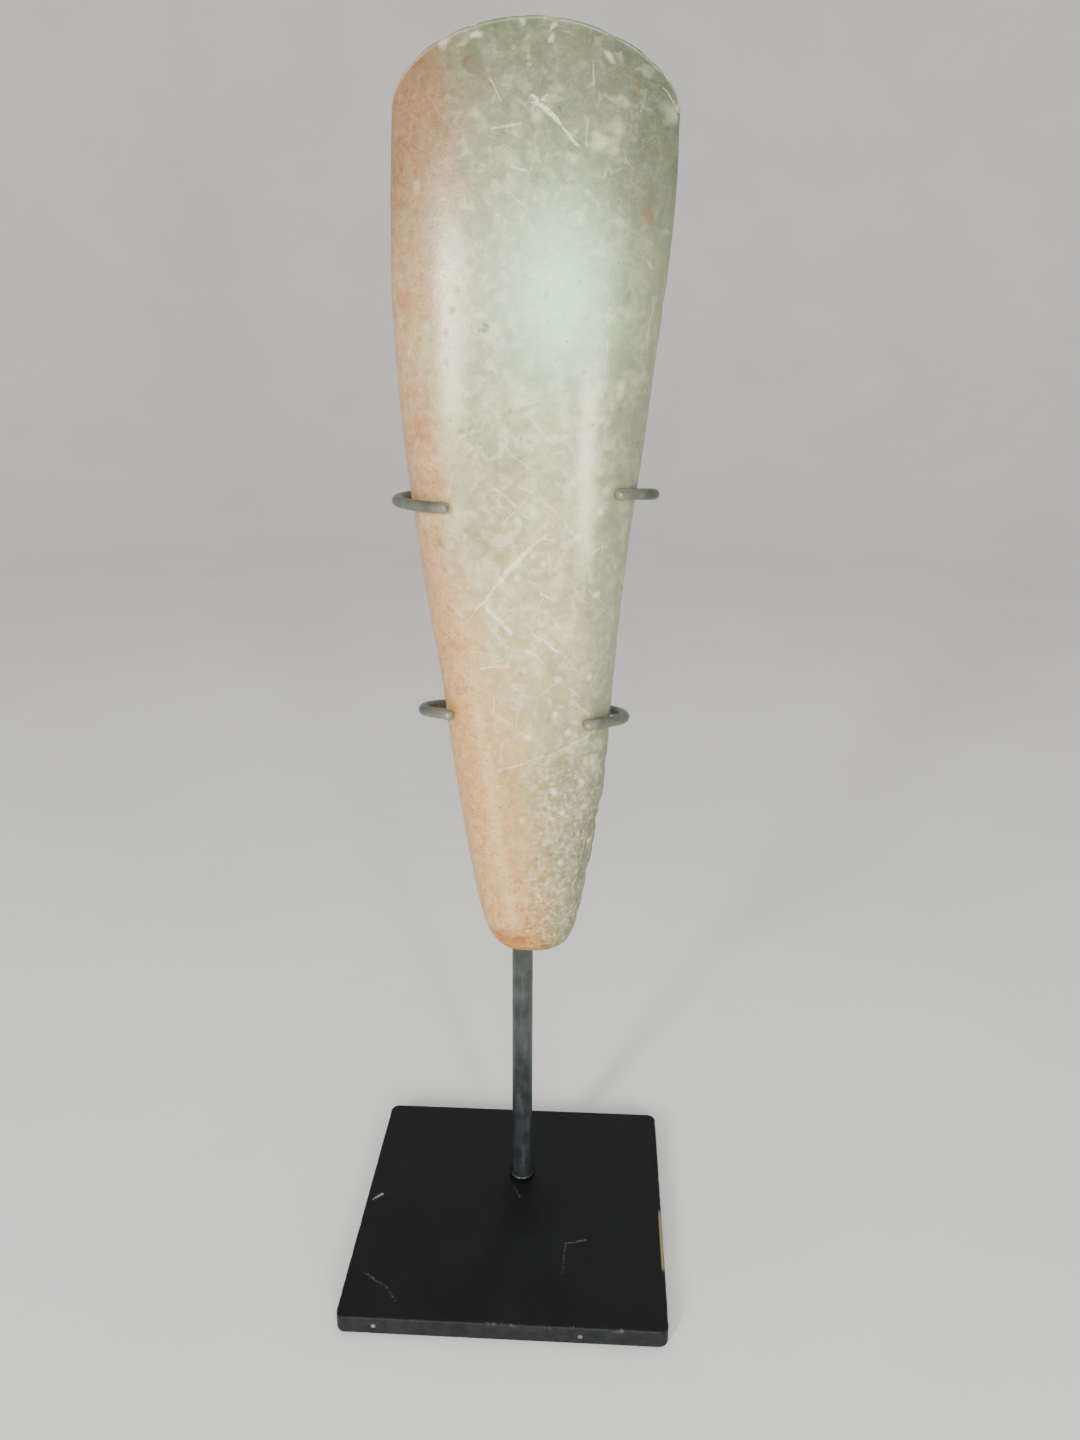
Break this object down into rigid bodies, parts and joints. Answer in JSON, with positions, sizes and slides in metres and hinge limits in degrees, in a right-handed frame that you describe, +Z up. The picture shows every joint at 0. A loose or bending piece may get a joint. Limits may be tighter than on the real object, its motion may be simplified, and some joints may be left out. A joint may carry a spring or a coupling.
{
  "type": "stone axe on display stand",
  "caption": "Polished stone axe head with a flaring blade and rounded butt, held upright by wire claws on a rod and square base plate.",
  "frame": {"origin": "middle of the base plate's underside", "axes": "+Z up along the axe, from its butt to its cutting edge; the front, with the fingers' tips, faces -Y"},
  "size_m": [0.1, 0.1, 0.357],
  "materials": {
    "stone": "ground and polished greenstone with a warm patina, pits and pecking",
    "plate_paint": "satin black paint, chipped at the edges",
    "dark_steel": "dark grey paint on steel, rubbed"
  },
  "bodies": {
    "root": {"stone_axe": "stone", "base_plate": "plate_paint", "support_rod": "dark_steel", "upper_claw_wire": "dark_steel", "lower_claw_wire": "dark_steel"}
  },
  "joints": []
}
